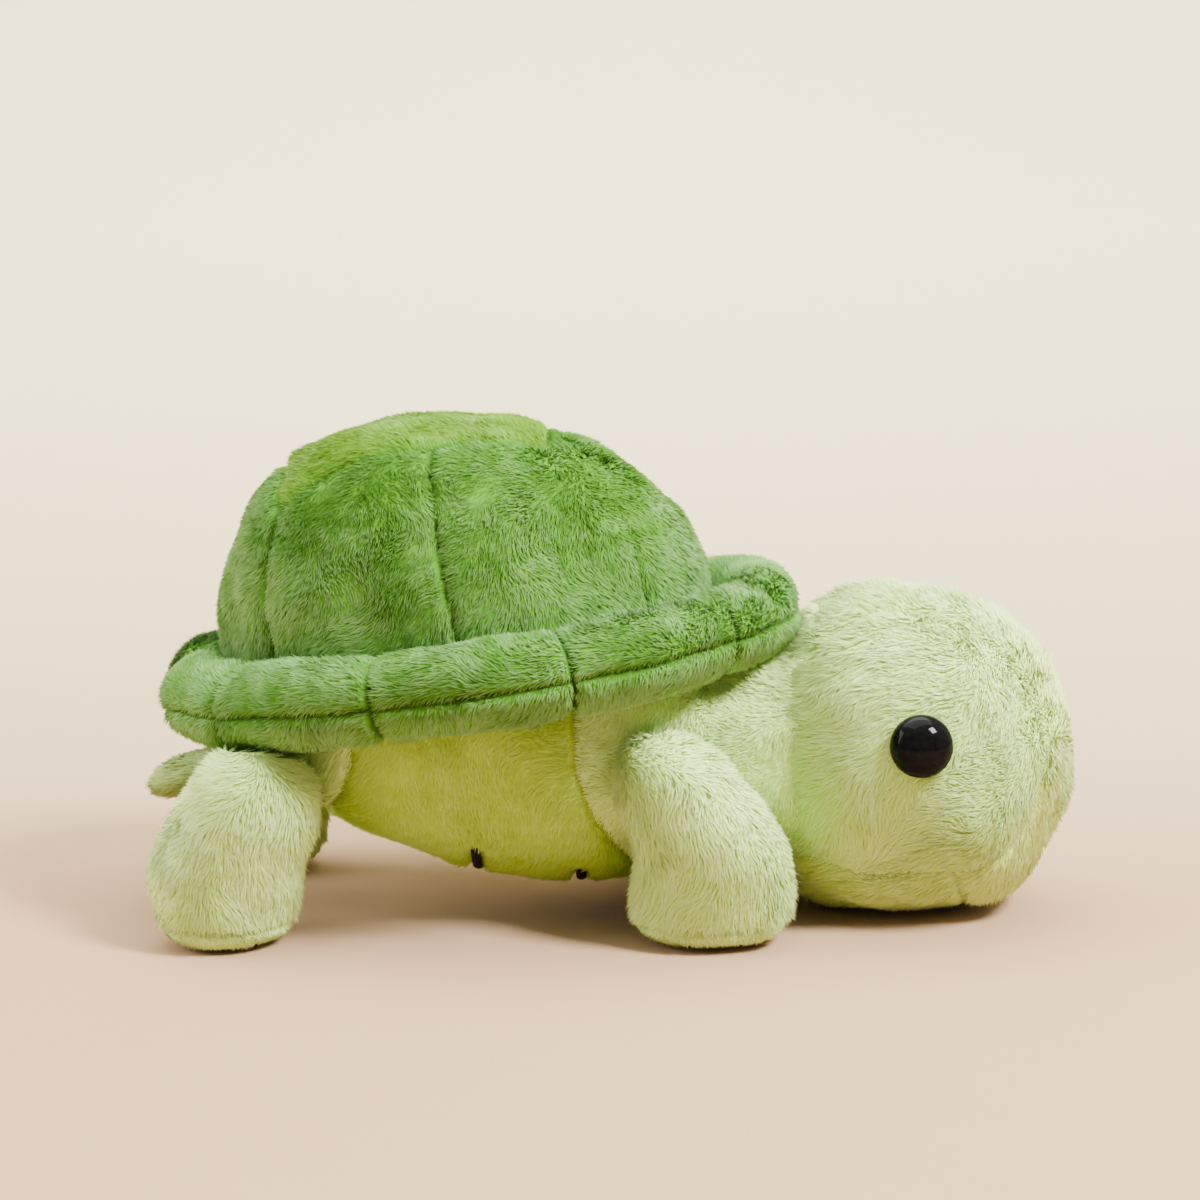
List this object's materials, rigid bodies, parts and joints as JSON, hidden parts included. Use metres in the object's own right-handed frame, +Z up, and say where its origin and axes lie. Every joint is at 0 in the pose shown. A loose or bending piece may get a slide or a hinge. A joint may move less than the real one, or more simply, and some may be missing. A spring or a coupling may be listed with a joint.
{
  "type": "plush turtle",
  "caption": "Plush turtle lying on its soles and chin, with a domed panelled shell, a stuffed brim, stubby legs and black domed eyes.",
  "frame": {"origin": "centre of the bounding box in X and Y, on the floor plane the soles and chin rest on", "axes": "+X towards the nose, +Y to the left side of the toy, +Z up"},
  "size_m": [0.2432, 0.1426, 0.132],
  "materials": {
    "shell_fabric": "short brushed plush pile",
    "shell_top_fabric": "short brushed plush pile, lighter green",
    "belly_fabric": "short plush pile, olive yellow",
    "pale_fabric": "longer plush pile, pale yellow green",
    "face_fabric": "longer plush pile, pale yellow",
    "tail_fabric": "plush pile, greyish green",
    "thread": "satin stitch embroidery thread",
    "stuffing": "polyester fibre filling",
    "eye_plastic": "polished black",
    "washer_plastic": "moulded"
  },
  "bodies": {
    "torso": {"rump_panel": "pale_fabric", "chest_panel": "pale_fabric", "belly_panel": "belly_fabric", "body_stuffing": "stuffing", "belly_line_rear": "thread", "belly_line_front": "thread", "brim_upper_1": "shell_fabric", "brim_upper_2": "shell_fabric", "brim_upper_3": "shell_fabric", "brim_upper_4": "shell_fabric", "brim_upper_5": "shell_fabric", "brim_upper_6": "shell_fabric", "brim_upper_7": "shell_fabric", "brim_upper_8": "shell_fabric", "brim_upper_9": "shell_fabric", "brim_upper_10": "shell_fabric", "brim_lower_1": "shell_fabric", "brim_lower_2": "shell_fabric", "brim_lower_3": "shell_fabric", "brim_lower_4": "shell_fabric", "brim_lower_5": "shell_fabric", "brim_lower_6": "shell_fabric", "brim_lower_7": "shell_fabric", "brim_lower_8": "shell_fabric", "brim_lower_9": "shell_fabric", "brim_lower_10": "shell_fabric", "brim_stuffing": "stuffing", "shell_panel_left_front": "shell_fabric", "shell_panel_left_rear": "shell_fabric", "shell_panel_rear": "shell_fabric", "shell_panel_right_rear": "shell_fabric", "shell_panel_right_front": "shell_fabric", "shell_panel_front": "shell_fabric", "shell_panel_top": "shell_top_fabric", "shell_stuffing": "stuffing", "shell_base_panel": "shell_fabric"},
    "head": {"head_side_left": "pale_fabric", "eye_left": "eye_plastic", "eye_washer_left": "washer_plastic", "head_side_right": "pale_fabric", "eye_right": "eye_plastic", "eye_washer_right": "washer_plastic", "head_gusset": "face_fabric", "chin_gusset": "face_fabric", "head_stuffing": "stuffing"},
    "tail": {"tail_upper": "tail_fabric", "tail_lower": "tail_fabric"},
    "leg_front_left": {"leg_front_left": "pale_fabric", "sole_front_left": "pale_fabric", "leg_stuffing_front_left": "stuffing"},
    "leg_front_right": {"leg_front_right": "pale_fabric", "sole_front_right": "pale_fabric", "leg_stuffing_front_right": "stuffing"},
    "leg_rear_left": {"leg_rear_left": "pale_fabric", "sole_rear_left": "pale_fabric", "leg_stuffing_rear_left": "stuffing"},
    "leg_rear_right": {"leg_rear_right": "pale_fabric", "sole_rear_right": "pale_fabric", "leg_stuffing_rear_right": "stuffing"}
  },
  "joints": [
    {"name": "neck_nod", "type": "hinge", "parent": "torso", "child": "head", "pos_m": [0.01995, 0, 0.045], "axis": [0, 1, 0], "range_deg": [-10, 8], "stiffness_Nm_per_rad": 0.8},
    {"name": "tail_lift", "type": "hinge", "parent": "torso", "child": "tail", "pos_m": [-0.10005, 0, 0.038], "axis": [0, 1, 0], "range_deg": [-12, 12], "stiffness_Nm_per_rad": 0.05},
    {"name": "front_left_leg_swing", "type": "hinge", "parent": "torso", "child": "leg_front_left", "pos_m": [0.01395, 0.044, 0.042], "axis": [0, 1, 0], "range_deg": [-5, 16], "stiffness_Nm_per_rad": 0.4},
    {"name": "front_right_leg_swing", "type": "hinge", "parent": "torso", "child": "leg_front_right", "pos_m": [0.01395, -0.044, 0.042], "axis": [0, 1, 0], "range_deg": [-5, 16], "stiffness_Nm_per_rad": 0.4},
    {"name": "rear_left_leg_swing", "type": "hinge", "parent": "torso", "child": "leg_rear_left", "pos_m": [-0.08805, 0.044, 0.038], "axis": [0, 1, 0], "range_deg": [-14, 14], "stiffness_Nm_per_rad": 0.4},
    {"name": "rear_right_leg_swing", "type": "hinge", "parent": "torso", "child": "leg_rear_right", "pos_m": [-0.08805, -0.044, 0.038], "axis": [0, 1, 0], "range_deg": [-14, 14], "stiffness_Nm_per_rad": 0.4}
  ]
}
